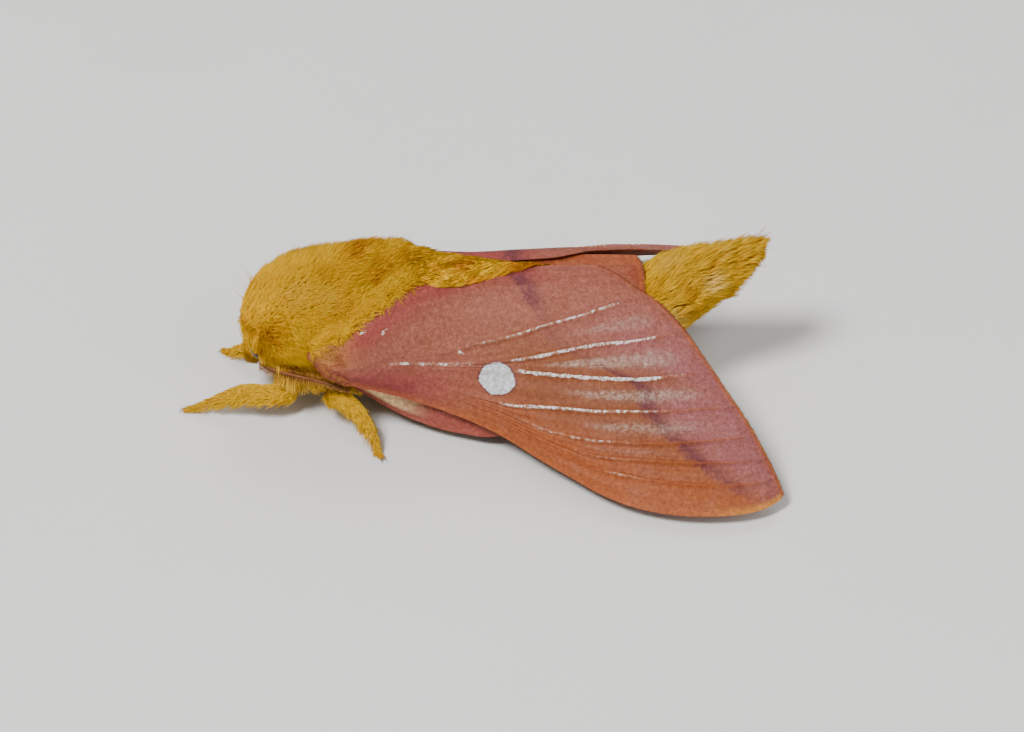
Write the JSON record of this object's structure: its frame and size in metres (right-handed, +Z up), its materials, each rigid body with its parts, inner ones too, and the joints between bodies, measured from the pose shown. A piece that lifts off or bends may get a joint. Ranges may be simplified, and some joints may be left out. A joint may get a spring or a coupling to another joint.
{
  "type": "oakworm moth, life-size still model",
  "caption": "Oakworm moth at rest with a furry thorax and abdomen, roofed wings with raised veins, and saw-edged feelers laid back along its sides.",
  "frame": {"origin": "on the floor under the centre of the moth's bounding box", "axes": "+Z up; the head points to -Y and the tail to +Y; +X is the moth's left, the side the picture shows"},
  "size_m": [0.0275, 0.0352, 0.0107],
  "materials": {
    "fur": "soft yellow-orange fur",
    "forewing": "fine rose and rust scales",
    "hindwing": "fine pink scales",
    "eye": "gloss",
    "antenna": "matt"
  },
  "bodies": {
    "root": {"head": "fur", "thorax": "fur", "abdomen": "fur", "eye_left": "eye", "eye_right": "eye", "antenna_left": "antenna", "antenna_right": "antenna", "forewing_left": "forewing", "forewing_right": "forewing", "hindwing_left": "hindwing", "hindwing_right": "hindwing", "leg_fore_left": "fur", "leg_fore_right": "fur", "leg_mid_left": "fur", "leg_mid_right": "fur", "leg_hind_left": "fur", "leg_hind_right": "fur"}
  },
  "joints": []
}
